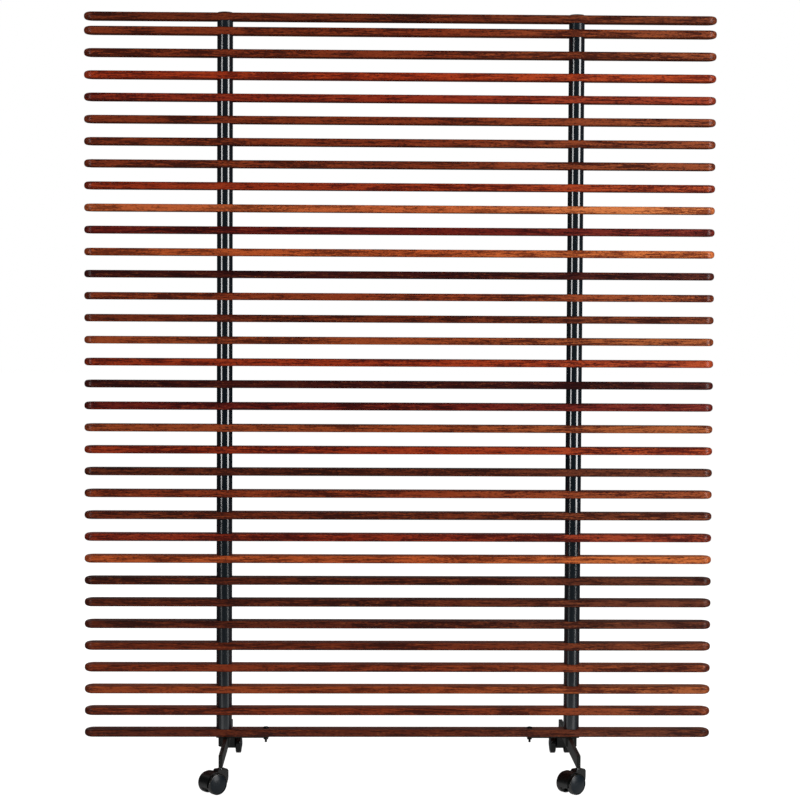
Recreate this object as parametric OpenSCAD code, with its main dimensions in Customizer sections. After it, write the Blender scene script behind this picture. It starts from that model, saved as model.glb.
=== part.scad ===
// Free-standing slat screen on casters. Wooden slats are threaded on two posts,
// each a stack of spacer tubes drawn together by a tie rod between a steel foot
// and a cap nut. A twin-wheel caster swivels under each end of both feet.
// Millimetres. The origin is on the floor, midway between the posts.
// +X runs along the slats, +Z is up, and -Y is the front.

/* [Slats] */
// Number of slats, counted from the top
slat_count = 34; // [4:1:34]
// Length of a slat, end to end
slat_length = 1524; // [1100:2:1800]
// Depth of a slat, front to back
slat_depth = 45; // [44:0.5:70]
// Thickness of a slat
slat_thickness = 18; // [14:0.5:26]
// Rounding along the four long edges
slat_edge_r = 4; // [1:0.5:6]
// Height of the flat left at a slat's rounded nose, seen from the front
slat_nose_flat = 2; // [1:0.5:6]

/* [Posts] */
// Distance between the two post axes
post_spacing = 847; // [500:1:1000]
// Outer diameter of the spacer tubes
tube_od = 38; // [30:0.5:44]
// Wall of the spacer tubes
tube_wall = 2; // [1:0.25:4]
// Clear gap between two slats, which is the length of a spacer tube
slat_gap = 35; // [20:0.5:60]
// Clear gap under the top slat, which is the length of the top sleeve
top_gap = 16; // [10:0.5:60]
// Wall of the top sleeves, turned from heavier tube
sleeve_wall = 5; // [2:0.5:8]
// Diameter of the tie rods
rod_d = 10; // [6:0.5:12]
// How far the cap nut's disc stays inside the outline of the tubes
cap_margin = 1; // [0.5:0.25:4]
// Thickness of the cap nut's disc
cap_thickness = 2.5; // [1.5:0.25:5]
// Depth of the cap nut's threaded barrel, below the disc
barrel_depth = 14; // [8:0.5:17]
// Wall of the cap nut's barrel round the rod
barrel_wall = 2.4; // [1.5:0.1:3]

/* [Feet] */
// Length of a foot bar, front to back
bar_length = 457; // [300:1:600]
// Height of the foot bar, which stands on edge
bar_height = 30; // [24:0.5:45]
// Thickness of the foot bar
bar_thickness = 9; // [8:0.5:16]
// How far the bar's centre lies inward of the post axis
bar_inset = 4.5; // [0:0.1:8]
// Rounding of the bar's four end corners, seen from the side
bar_corner_r = 1.5; // [0.5:0.25:4]
// Diameter of the hub that takes the tie rod
hub_d = 28; // [18:0.5:34]
// Height of the hub below the mounting plate
hub_height = 23; // [12:0.5:28]
// Thickness of the mounting plate under the bottom slat
plate_thickness = 3; // [2:0.25:6]
// Width of the mounting plate, front to back
plate_width = 34; // [24:0.5:44]
// Reach of the plate beyond the post axis, outward
plate_reach_out = 19; // [14:0.5:40]
// Corner rounding of the plate
plate_corner_r = 6; // [1:0.5:10]
// Distance from the post axis inward to the plate bolt
bolt_offset = 101.6; // [50:0.1:150]
// Reach of the plate beyond the plate bolt
plate_reach_in = 7.5; // [7:0.5:20]

/* [Plate bolts] */
// Diameter of the plate bolts
bolt_d = 6; // [4:0.5:8]
// Width across the flats of the bolt head and of the nut
hex_af = 10; // [10:0.5:16]
// Height of the bolt head
head_height = 2.5; // [2:0.25:6]
// Height of the nut
nut_height = 5; // [4:0.25:8]
// Outer diameter of the washers
washer_d = 14; // [13:0.5:18]
// Thickness of the washers
washer_thickness = 1.2; // [0.8:0.1:2]
// How far the bolt's end shows below the nut
bolt_tail = 7; // [2:0.5:12]

/* [Casters] */
// Distance from the foot bar's end to the caster stem's axis
stem_inset = 12.5; // [10:0.5:40]
// Diameter of the wheels
wheel_d = 50; // [40:0.5:60]
// Width of one wheel across its tread
tread_width = 13; // [9:0.5:16]
// Height of the domed cap beyond the tread
dome_height = 3; // [1:0.25:4]
// Distance from the tread in to the edge of the domed cap
dome_margin = 3; // [3:0.25:6]
// Rounding of the tread's two edges
tread_edge_r = 2.25; // [1:0.25:2.25]
// Thickness of the wheel's rim under the tread
rim_wall = 3; // [2.5:0.25:4]
// Thickness of the wheel's web behind the dome
web_thickness = 3; // [2:0.25:5]
// Diameter of the wheel's hub, and of the boss that it runs against
wheel_hub_d = 14; // [11:0.5:18]
// Diameter of the axle
axle_d = 6; // [4:0.5:8]
// How far the axle trails behind the stem's axis
trail = 23; // [16:0.5:30]
// Width of the caster's body, between the wheels
body_width = 21; // [14:0.5:26]
// Rounding of the body's edges
body_edge_r = 4; // [1:0.5:5]
// Length of the block that holds the stem, front to back
block_length = 30; // [22:0.5:34]
// Height of the block, over which its leading side is upright
block_height = 16; // [12:0.5:20]
// Radius on which the leading side curves in below the block
skirt_r = 45; // [30:1:80]
// Height of the skirt's lower edge above the floor
skirt_clearance = 20; // [14:0.5:24]
// Thickness of the web's walls, round its pocket
web_wall = 3; // [2:0.25:4]
// Width of the hood, which covers the inner part of both treads
hood_width = 33; // [24:0.5:44]
// Thickness of the hood
hood_wall = 1.5; // [1:0.25:2.5]
// Angle of the hood's front edge, up from the level of the axle
hood_front = 60; // [40:1:80]
// Angle of the hood's back edge, down from the level of the axle
hood_back = 17; // [0:1:30]
// Diameter of the drum round the axle, at the foot of the body
drum_d = 26; // [18:0.5:30]
// Gap between the top of the wheels and the top of the body
body_rise = 5.5; // [3:0.5:10]
// Diameter of the stem's pintle, which the body swivels on
pintle_d = 8; // [6:0.5:10]
// Depth of the pintle in the body
pintle_depth = 26; // [15:0.5:28]
// Diameter of the collar above the pintle
collar_d = 8.6; // [8:0.2:14]
// Thickness of the collar
collar_thickness = 2; // [1:0.25:4]
// Diameter of the stem's upper end, screwed into the foot bar
stem_thread_d = 5; // [4:0.5:5]
// Length of the stem's upper end
stem_thread_length = 14; // [8:0.5:18]
// Angle of the front casters, turned as they were last pushed
front_swivel = -52; // [-180:1:180]
// Angle of the rear casters from straight back, turned inward at both sides
rear_swivel = 2; // [-90:1:90]

/* [Fits] */
// Clearance round the tie rod and the plate bolt in the wood
wood_clearance = 0.5; // [0.2:0.1:1]
// Clearance in a screwed joint, per side
thread_clearance = 0.1; // [0.05:0.01:0.2]
// Radial running clearance of the axles and pintles
run_clearance = 0.05; // [0.02:0.01:0.1]
// Radial clearance of the axle pressed into the body
press_clearance = 0.02; // [0.01:0.01:0.03]
// Side clearance between a wheel and the body's boss
side_clearance = 0.3; // [0.2:0.05:0.5]
// Gap between the wheels and the flat sides of the body
wheel_gap = 1; // [0.7:0.1:2]
// Gap between the treads and the hood over them
hood_gap = 0.8; // [0.7:0.05:1.5]
// Gap between the swivelling body and the collar above it
swivel_clearance = 0.5; // [0.3:0.1:1]

/* [Hidden] */
$fn = 64;
SIDES = [-1, 1];
ENDS = [-1, 1];

// Heights, built up from the floor
wheel_r = wheel_d / 2;
body_top = wheel_d + body_rise;
bar_bottom = body_top + swivel_clearance + collar_thickness;
bar_top = bar_bottom + bar_height;
plate_top = bar_top + plate_thickness;
slat_pitch = slat_thickness + slat_gap;

// Places seen from above
post_x = post_spacing / 2;
bar_x = post_x - bar_inset;
stem_y = bar_length / 2 - stem_inset;
bolt_x = post_x - bolt_offset;

// Sizes that follow from a fit
rod_hole_d = rod_d + 2 * wood_clearance;
rod_thread_d = rod_d + 2 * thread_clearance;
barrel_d = rod_thread_d + 2 * barrel_wall;
barrel_hole_d = barrel_d + 2 * wood_clearance;
cap_d = tube_od - 2 * cap_margin;
bolt_hole_d = bolt_d + 2 * wood_clearance;
cap_floor = 2;
rod_end_gap = 0.5;
wheel_inner_x = body_width / 2 + wheel_gap;
boss_x = wheel_inner_x - side_clearance;
hood_r = wheel_r + hood_gap + hood_wall;
web_r = hood_r - hood_wall / 2;
web_width = body_width - 1;
dome_d = wheel_d - 2 * dome_margin;
wheel_bore_depth = tread_width - web_thickness + 1;
axle_length = 2 * (wheel_inner_x + wheel_bore_depth - side_clearance);
bolt_length = washer_thickness + slat_thickness + plate_thickness + washer_thickness
            + nut_height + bolt_tail;

// Height of a slat's underside; slat 1 is the top one
function slat_bottom(n) =
    n == 1 ? slat_top(2) + top_gap : plate_top + (slat_count - n) * slat_pitch;
function slat_top(n) = slat_bottom(n) + slat_thickness;

// Where a slat is dark, mid or bright: a steady shuffle of four timber tones
TIMBER = ["#6b2f1c", "#8a4424", "#a3552a", "#54231a"];
function timber(n) = TIMBER[(n * 7 + floor(n / 3)) % len(TIMBER)];

function two_digits(n) = n < 10 ? str("0", n) : str(n);
function slat_name(n) = str("slat_", two_digits(n));
function side_name(side) = side < 0 ? "left" : "right";
function caster_name(side, end) = str(end < 0 ? "front_" : "rear_", side_name(side), "_caster");
function swivel(side, end) = end < 0 ? front_swivel : 180 + side * rear_swivel;

PIECES = ["body", "axle", "left_wheel", "right_wheel"];

// ---------------------------------------------------------------- helpers

// A rectangle with round corners, centred, made of true arcs
module round_rect(size, r) {
    square([size.x - 2 * r, size.y], center = true);
    square([size.x, size.y - 2 * r], center = true);
    for (x = [-1, 1], y = [-1, 1])
        translate([x * (size.x / 2 - r), y * (size.y / 2 - r)])
            circle(r);
}

// A tube standing at the current height
module tube(od, id, height) {
    linear_extrude(height)
        difference() {
            circle(d = od);
            circle(d = id);
        }
}

// A hexagon across its flats, standing at the current height
module hexagon(af, height) {
    rotate(30)
        cylinder(d = af / cos(30), h = height, $fn = 6);
}

// Puts its children on the axis of each post
module at_posts() {
    for (side = SIDES)
        translate([side * post_x, 0, 0])
            children();
}

// Puts its children on the axis of each plate bolt
module at_plate_bolts() {
    for (side = SIDES)
        translate([side * bolt_x, 0, 0])
            children();
}

// Puts its children at a caster's stem, turned with the caster; the wheels trail to -Y
module at_caster(side, end) {
    translate([side * bar_x, end * stem_y, 0])
        rotate(swivel(side, end))
            children();
}

// Puts its children at a caster's axle, with +Z along the axle
module at_axle() {
    translate([0, -trail, wheel_r])
        rotate([0, 90, 0])
            children();
}

// ---------------------------------------------------------------- slats

// The section of a slat, round along its four long edges
module slat_section() {
    round_rect([slat_depth, slat_thickness], slat_edge_r);
}

// One bar of timber with a half-round end at each side, eased down to the nose
module slat_blank() {
    straight = slat_length - slat_depth;
    intersection() {
        union() {
            rotate([90, 0, 90])
                linear_extrude(straight, center = true)
                    slat_section();
            for (side = SIDES)
                translate([side * straight / 2, 0, 0])
                    rotate(side * -90)
                        rotate_extrude(angle = 180)
                            intersection() {
                                slat_section();
                                translate([0, -slat_thickness])
                                    square(slat_depth);
                            }
        }
        rotate([90, 0, 0])
            linear_extrude(slat_depth + 2, center = true)
                round_rect([slat_length, slat_thickness], (slat_thickness - slat_nose_flat) / 2);
    }
}

// Slat n, drilled for the tie rods; the top one also takes the barrels of the
// cap nuts, and the bottom one the plate bolts
module slat(n) {
    color(timber(n))
        difference() {
            translate([0, 0, (slat_bottom(n) + slat_top(n)) / 2])
                slat_blank();
            at_posts()
                translate([0, 0, slat_bottom(n) - 1])
                    cylinder(d = n == 1 ? barrel_hole_d : rod_hole_d, h = slat_thickness + 2);
            if (n == slat_count)
                at_plate_bolts()
                    translate([0, 0, slat_bottom(n) - 1])
                        cylinder(d = bolt_hole_d, h = slat_thickness + 2);
        }
}

// ---------------------------------------------------------------- posts

// The gloss black tubes that hold the slats apart
module spacer_tubes() {
    color("#15171a")
        at_posts()
            for (n = [3 : slat_count])
                translate([0, 0, slat_top(n)])
                    tube(tube_od, tube_od - 2 * tube_wall, slat_gap);
}

// The short, duller sleeves between the two top slats
module top_sleeves() {
    color("#3a4047")
        at_posts()
            translate([0, 0, slat_top(2)])
                tube(tube_od, tube_od - 2 * sleeve_wall, top_gap);
}

// Rods from the hub of each foot up into the cap nut
module tie_rods() {
    rod_bottom = bar_top - hub_height + rod_end_gap;
    rod_top = slat_top(1) + cap_thickness - cap_floor - rod_end_gap;
    color("#8d9094")
        at_posts()
            translate([0, 0, rod_bottom])
                cylinder(d = rod_d, h = rod_top - rod_bottom);
}

// Thin discs on the top slat, each with a blind threaded barrel let into the wood
module cap_nuts() {
    color("#1b1c1f")
        at_posts()
            translate([0, 0, slat_top(1)])
                difference() {
                    rotate_extrude() {
                        square([cap_d / 2 - cap_thickness / 2, cap_thickness]);
                        intersection() {
                            translate([cap_d / 2 - cap_thickness / 2, cap_thickness / 2])
                                circle(d = cap_thickness);
                            square([cap_d / 2, cap_thickness]);
                        }
                        translate([0, -barrel_depth])
                            square([barrel_d / 2, barrel_depth]);
                    }
                    translate([0, 0, -barrel_depth - 1])
                        cylinder(d = rod_thread_d, h = barrel_depth + 1 + cap_thickness - cap_floor);
                }
}

// ---------------------------------------------------------------- feet

// The plan of the plate that lies under the bottom slat, with +X inward
module plate_outline() {
    reach = plate_reach_out + bolt_offset + plate_reach_in;
    translate([reach / 2 - plate_reach_out, 0])
        round_rect([reach, plate_width], plate_corner_r);
}

// A welded foot: a bar on edge, the hub for the tie rod and the mounting plate
module foot(side) {
    color("#202226")
        difference() {
            union() {
                translate([side * bar_x, 0, bar_bottom + bar_height / 2])
                    rotate([90, 0, 90])
                        linear_extrude(bar_thickness, center = true)
                            round_rect([bar_length, bar_height], bar_corner_r);
                translate([side * post_x, 0, bar_top - hub_height])
                    cylinder(d = hub_d, h = hub_height);
                translate([side * post_x, 0, bar_top])
                    linear_extrude(plate_thickness)
                        mirror([side > 0 ? 1 : 0, 0])
                            plate_outline();
            }
            translate([side * post_x, 0, bar_top - hub_height - 1])
                cylinder(d = rod_thread_d, h = hub_height + plate_thickness + 2);
            translate([side * bolt_x, 0, bar_top - 1])
                cylinder(d = bolt_hole_d, h = plate_thickness + 2);
            for (end = ENDS)
                translate([side * bar_x, end * stem_y, bar_bottom - 1])
                    cylinder(d = stem_thread_d + 2 * thread_clearance, h = stem_thread_length + 2);
        }
}

// Hexagon bolts down through the bottom slat and the plate, which keep the feet square
module plate_bolts() {
    head_bottom = slat_top(slat_count) + washer_thickness;
    color("#17181a")
        at_plate_bolts() {
            translate([0, 0, head_bottom])
                hexagon(hex_af, head_height);
            translate([0, 0, head_bottom - bolt_length])
                cylinder(d = bolt_d, h = bolt_length);
        }
}

// One washer under each bolt head and one under each plate
module plate_washers() {
    color("#2b2d30")
        at_plate_bolts()
            for (z = [slat_top(slat_count), bar_top - washer_thickness])
                translate([0, 0, z])
                    tube(washer_d, bolt_d + 2 * thread_clearance, washer_thickness);
}

// Nuts on the plate bolts, under the plates
module plate_nuts() {
    color("#17181a")
        at_plate_bolts()
            translate([0, 0, bar_top - washer_thickness - nut_height])
                difference() {
                    hexagon(hex_af, nut_height);
                    translate([0, 0, -1])
                        cylinder(d = bolt_d + 2 * thread_clearance, h = nut_height + 2);
                }
}

// ---------------------------------------------------------------- casters

// Plated stems, screwed up into the foot bars; each caster's body turns on the pintle
module caster_stems() {
    collar_bottom = bar_bottom - collar_thickness;
    pintle_bottom = body_top - pintle_depth + swivel_clearance;
    color("#b9bdc2")
        for (side = SIDES, end = ENDS)
            translate([side * bar_x, end * stem_y, 0]) {
                translate([0, 0, bar_bottom])
                    cylinder(d = stem_thread_d, h = stem_thread_length);
                translate([0, 0, collar_bottom])
                    cylinder(d = collar_d, h = collar_thickness);
                translate([0, 0, pintle_bottom])
                    cylinder(d = pintle_d, h = collar_bottom - pintle_bottom);
            }
}

// The side outline of the block round the stem and of the skirt below it, with the
// stem's axis at x = 0, the leading side at +x and the wheels trailing to -x
module block_outline() {
    skirt_top = body_top - block_height;
    translate([0, body_top - (block_height + body_edge_r) / 2])
        round_rect([block_length, block_height + body_edge_r], body_edge_r);
    intersection() {
        translate([block_length / 2 - skirt_r, skirt_top])
            circle(skirt_r);
        translate([-trail, skirt_clearance - 1])
            square([trail + block_length / 2, skirt_top - skirt_clearance + body_edge_r]);
    }
}

// The side outline of the web and the drum, with the axle at the origin; a
// straight back comes down from the block and meets the web's arc in a tangent
module web_outline() {
    back = [trail - block_length / 2, body_top - body_edge_r - wheel_r];
    tangent = atan2(back.y, back.x) + acos(min(1, web_r / norm(back)));
    circle(d = drum_d);
    half_disc(web_r);
    polygon([[0, 0], [back.x, 0], back, web_r * [cos(tangent), sin(tangent)]]);
}

// The side outline of the hood, an arc over the treads with the axle at the origin
module hood_outline() {
    sweep = 180 + hood_back - hood_front;
    steps = 4;
    intersection() {
        difference() {
            circle(hood_r);
            circle(hood_r - hood_wall);
        }
        polygon([
            [0, 0],
            for (i = [0 : steps])
                let (a = hood_front + sweep * i / steps) 2 * hood_r * [cos(a), sin(a)]
        ]);
    }
}

// The upper half of a disc
module half_disc(r) {
    intersection() {
        circle(r);
        translate([-r, 0])
            square([2 * r, r]);
    }
}

// A slab across the caster's middle plane, drawn from the side with the axle at the origin
module across(width) {
    translate([0, -trail, wheel_r])
        rotate([90, 0, 90])
            linear_extrude(width, center = true)
                children();
}

// The pocket under the web, open to the floor behind the drum
module pocket_outline() {
    roof_r = web_r - web_wall;
    front = web_wall - drum_d / 2;
    intersection() {
        difference() {
            circle(roof_r);
            circle(d = drum_d);
        }
        translate([front - roof_r, -1])
            square([roof_r, roof_r + 1]);
    }
}

// The block that holds the stem and the skirt below it, rounded all round
module block() {
    intersection() {
        rotate([90, 0, 90])
            linear_extrude(body_width, center = true)
                block_outline();
        translate([0, block_length / 2, (skirt_clearance + body_top) / 2])
            rotate([90, 0, 0])
                linear_extrude(block_length / 2 + trail)
                    round_rect([body_width, body_top - skirt_clearance], body_edge_r);
        translate([0, -trail, 0])
            linear_extrude(body_top + 1)
                round_rect([body_width, 2 * trail + block_length], body_edge_r);
    }
}

// The moulded body, without its bores: the block, the hollow web between the
// wheels, the hood over their treads, and the boss that each wheel runs against
module body_blank() {
    block();
    difference() {
        across(web_width)
            web_outline();
        across(web_width - 2 * web_wall)
            pocket_outline();
    }
    across(hood_width)
        hood_outline();
    at_axle()
        cylinder(d = wheel_hub_d, h = 2 * boss_x, center = true);
}

// A caster's body: swivels on the stem's pintle and holds the axle
module caster_body(side, end) {
    color("#1d1f22")
        at_caster(side, end)
            difference() {
                body_blank();
                translate([0, 0, body_top - pintle_depth])
                    cylinder(d = pintle_d + 2 * run_clearance, h = pintle_depth + 1);
                at_axle()
                    cylinder(d = axle_d + 2 * press_clearance, h = 2 * boss_x + 2, center = true);
            }
}

// A steel pin pressed through the body; a wheel runs on each end
module caster_axle(side, end) {
    color("#b9bdc2")
        at_caster(side, end)
            at_axle()
                cylinder(d = axle_d, h = axle_length, center = true);
}

// Half of a wheel's section: x is the radius, y runs from the inner face outward
module wheel_section() {
    groove_width = 0.75;
    groove_depth = 1;
    dome_base = tread_width - groove_depth;
    dome_rise = groove_depth + dome_height;
    dome_r = ((dome_d / 2) ^ 2 + dome_rise ^ 2) / (2 * dome_rise);
    difference() {
        union() {
            square([wheel_r - tread_edge_r, tread_width]);
            translate([0, tread_edge_r])
                square([wheel_r, tread_width - 2 * tread_edge_r]);
            for (y = [tread_edge_r, tread_width - tread_edge_r])
                translate([wheel_r - tread_edge_r, y])
                    circle(tread_edge_r);
        }
        translate([0, dome_base])
            square([dome_d / 2 + groove_width, tread_width]);
        translate([wheel_hub_d / 2, -1])
            square([wheel_r - rim_wall - wheel_hub_d / 2, dome_base - web_thickness + 1]);
    }
    intersection() {
        translate([0, dome_base + dome_rise - dome_r])
            circle(dome_r, $fn = 180);
        translate([0, dome_base])
            square([dome_d / 2, dome_rise]);
    }
}

// A moulded wheel: rounded tread, open inside, with a domed cap and a blind bore
module caster_wheel(side, end, hand) {
    color("#3c4650")
        at_caster(side, end)
            at_axle()
                mirror([0, 0, hand < 0 ? 1 : 0])
                    translate([0, 0, wheel_inner_x])
                        difference() {
                            rotate_extrude()
                                wheel_section();
                            translate([0, 0, -1])
                                cylinder(d = axle_d + 2 * run_clearance, h = wheel_bore_depth + 1);
                        }
}

// ---------------------------------------------------------------- assembly

for (n = [1 : slat_count])
    slat(n);

spacer_tubes();
top_sleeves();
tie_rods();
cap_nuts();
foot(-1);  // left_foot
foot(1);  // right_foot
plate_bolts();
plate_washers();
plate_nuts();
caster_stems();

for (side = SIDES, end = ENDS) {
    name = caster_name(side, end);
    caster_body(side, end);
    caster_axle(side, end);
    caster_wheel(side, end, -1);
    caster_wheel(side, end, 1);
}
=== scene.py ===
"""Looks for a free-standing screen of hardwood slats on two gloss black posts and four casters.

Everything is in metres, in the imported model's own frame: +X along the slats, +Y to the
back, +Z up, with the origin on the floor midway between the posts.
"""

import logging
import math
from dataclasses import dataclass
from enum import Enum
from typing import Any, Callable, Iterable, Sequence

import bmesh
import bpy
from mathutils import Matrix, Vector


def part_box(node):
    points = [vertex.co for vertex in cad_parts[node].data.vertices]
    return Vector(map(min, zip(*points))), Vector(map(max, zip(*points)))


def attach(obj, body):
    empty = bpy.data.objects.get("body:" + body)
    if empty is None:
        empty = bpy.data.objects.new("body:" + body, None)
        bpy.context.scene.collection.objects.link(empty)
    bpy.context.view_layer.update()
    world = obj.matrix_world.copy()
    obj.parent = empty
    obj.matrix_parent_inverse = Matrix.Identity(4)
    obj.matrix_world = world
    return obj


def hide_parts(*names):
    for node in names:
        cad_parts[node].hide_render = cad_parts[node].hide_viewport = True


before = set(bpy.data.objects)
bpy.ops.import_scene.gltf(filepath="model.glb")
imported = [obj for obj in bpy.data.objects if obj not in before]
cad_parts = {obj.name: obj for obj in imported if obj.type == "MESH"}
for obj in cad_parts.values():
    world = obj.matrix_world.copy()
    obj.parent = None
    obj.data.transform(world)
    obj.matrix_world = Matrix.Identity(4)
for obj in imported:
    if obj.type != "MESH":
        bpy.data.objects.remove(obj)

log = logging.getLogger("slat_screen")
MM = 0.001
QUARTER = math.radians(90)
MEAN = 0.5  # a noise's middle value
POLE = 1e-9  # a turned form's radii below this are its poles
BMesh, Face, Vert = bmesh.types.BMesh, bmesh.types.BMFace, bmesh.types.BMVert
Colour = tuple[float, float, float]
Point2 = tuple[float, float]
WHITE: Colour = (1.0, 1.0, 1.0)


# --- node graphs


def operator(operation: str, swap: bool = False) -> Callable[["Value", "Value | float"], "Value"]:
    """Makes a method of Value that adds a Math node.

    Args:
        operation: The Math node's operation.
        swap: Whether the value is the second operand, as in a reflected form.

    Returns:
        The method.
    """

    def method(value: "Value", other: "Value | float") -> "Value":
        """Adds the node and hands out its output."""
        pair = (other, value) if swap else (value, other)
        return value.graph.add("ShaderNodeMath", {"operation": operation}, dict(enumerate(pair)))[0]

    return method


class Value:
    """A node's output that takes Python arithmetic and adds a Math node for each step."""

    def __init__(self, graph: "Graph", socket: bpy.types.NodeSocket) -> None:
        """Wraps an output socket of the graph that the Math nodes go into."""
        self.graph, self.socket = graph, socket

    __add__, __radd__ = operator("ADD"), operator("ADD", swap=True)
    __sub__, __rsub__ = operator("SUBTRACT"), operator("SUBTRACT", swap=True)
    __mul__, __rmul__ = operator("MULTIPLY"), operator("MULTIPLY", swap=True)
    __truediv__, __rtruediv__ = operator("DIVIDE"), operator("DIVIDE", swap=True)
    above = operator("GREATER_THAN")  # 1 where this is greater, else 0

    def swing(self, share: float) -> "Value":
        """How far this noise is above its middle, times share."""
        return (self - MEAN) * share

    def through(self, ramp: "Ramp") -> "Value":
        """The ramp's height at this value."""
        return ((self - ramp.start) * ramp.rate).clamped() * ramp.top

    def clamped(self) -> "Value":
        """This, kept between 0 and 1."""
        return self.graph.add("ShaderNodeClamp", {}, {"Value": self})[0]


def find_socket(sockets: Any, key: int | str) -> bpy.types.NodeSocket:
    """Finds a socket.

    Args:
        sockets: A node's inputs or outputs.
        key: Its number, its identifier or its name.

    Returns:
        The socket.
    """
    if isinstance(key, int):
        return sockets[key]
    return next((socket for socket in sockets if socket.identifier == key), None) or sockets[key]


@dataclass
class Made:
    """A node that was added; its outputs are taken by number, identifier or name."""

    graph: "Graph"
    node: bpy.types.Node

    def __getitem__(self, key: int | str) -> Value:
        """The output with that number, identifier or name."""
        return Value(self.graph, find_socket(self.node.outputs, key))


@dataclass(frozen=True)
class Ramp:
    """A straight rise from 0 at start up to top; with a negative rate, a fall to 0 at start."""

    start: float
    rate: float
    top: float = 1.0


@dataclass(frozen=True)
class Relief:
    """How strongly a bump shows and how high it is, in metres."""

    strength: float
    height: float


@dataclass(frozen=True)
class Pattern:
    """A noise: how often it repeats in a metre along X, Y and Z, and where it starts."""

    stretch: tuple[float, float, float]
    shift: tuple[float, float, float] = (0.0, 0.0, 0.0)
    detail: float = 2.0
    roughness: float = 0.5


class Graph:
    """Builds a node tree of any kind."""

    def __init__(self, tree: bpy.types.NodeTree) -> None:
        """Empties the tree that it builds in."""
        self.tree = tree
        tree.nodes.clear()

    def add(
        self,
        kind: str,
        settings: dict[str, Any] | None = None,
        inputs: dict[Any, Any] | None = None,
    ) -> Made:
        """Adds a node.

        Args:
            kind: The node's type, such as ShaderNodeTexNoise.
            settings: Its own settings, set first.
            inputs: Values, colours or outputs for its inputs, by number, identifier or name.

        Returns:
            The new node.
        """
        node = self.tree.nodes.new(kind)
        for name, value in (settings or {}).items():
            setattr(node, name, value)
        for key, value in (inputs or {}).items():
            socket = find_socket(node.inputs, key)
            if isinstance(value, Value):
                self.tree.links.new(value.socket, socket)
            elif socket.type == "RGBA":
                socket.default_value = (*value, 1.0)
            else:
                socket.default_value = value
        return Made(self, node)

    def blend_colours(self, factor: Value | float, first: Any, second: Any) -> Value:
        """Mixes the second colour, or an output that gives one, into the first by factor."""
        settings = {"data_type": "RGBA", "blend_type": "MIX", "clamp_factor": True}
        inputs = {"Factor_Float": factor, "A_Color": first, "B_Color": second}
        return self.add("ShaderNodeMix", settings, inputs)["Result_Color"]

    def noise(self, where: Value, pattern: Pattern) -> Value:
        """A noise that is stretched along the axes.

        Args:
            where: The coordinates, in metres.
            pattern: The noise's form.

        Returns:
            The noise, from about 0 to 1.
        """
        inputs = {"Vector": where, "Scale": pattern.stretch, "Location": pattern.shift}
        mapped = self.add("ShaderNodeMapping", {"vector_type": "POINT"}, inputs)[0]
        inputs = {"Vector": mapped, "Scale": 1.0}
        inputs |= {"Detail": pattern.detail, "Roughness": pattern.roughness}
        return self.add("ShaderNodeTexNoise", {"noise_dimensions": "3D"}, inputs)[0]

    def bump(self, height: Value, relief: Relief) -> Value:
        """The normal of a height from 0 to 1."""
        inputs = {"Height": height, "Strength": relief.strength, "Distance": relief.height}
        return self.add("ShaderNodeBump", {}, inputs)[0]

    def where(self) -> Value:
        """The object's own coordinates."""
        return self.add("ShaderNodeTexCoord")["Object"]

    def surface(self, inputs: dict[str, Any]) -> None:
        """Ends a material in a Principled BSDF with these inputs."""
        shader = self.add("ShaderNodeBsdfPrincipled", {}, inputs)
        self.add("ShaderNodeOutputMaterial", {}, {"Surface": shader[0]})


# --- finishes


@dataclass(frozen=True)
class Finish:
    """What every finish has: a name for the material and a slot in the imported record."""

    name: str
    slot: str

    def material(self) -> bpy.types.Material:
        """Makes the material once and hands the same one out after that.

        Returns:
            The material.
        """
        found = bpy.data.materials.get(self.name)
        if found is None:
            found = bpy.data.materials.new(self.name)
            found.use_nodes = True
            self.paint(Graph(found.node_tree))
        return found

    def paint(self, graph: Graph) -> None:
        """Builds the material's nodes in its own, empty graph."""
        raise NotImplementedError


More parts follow.
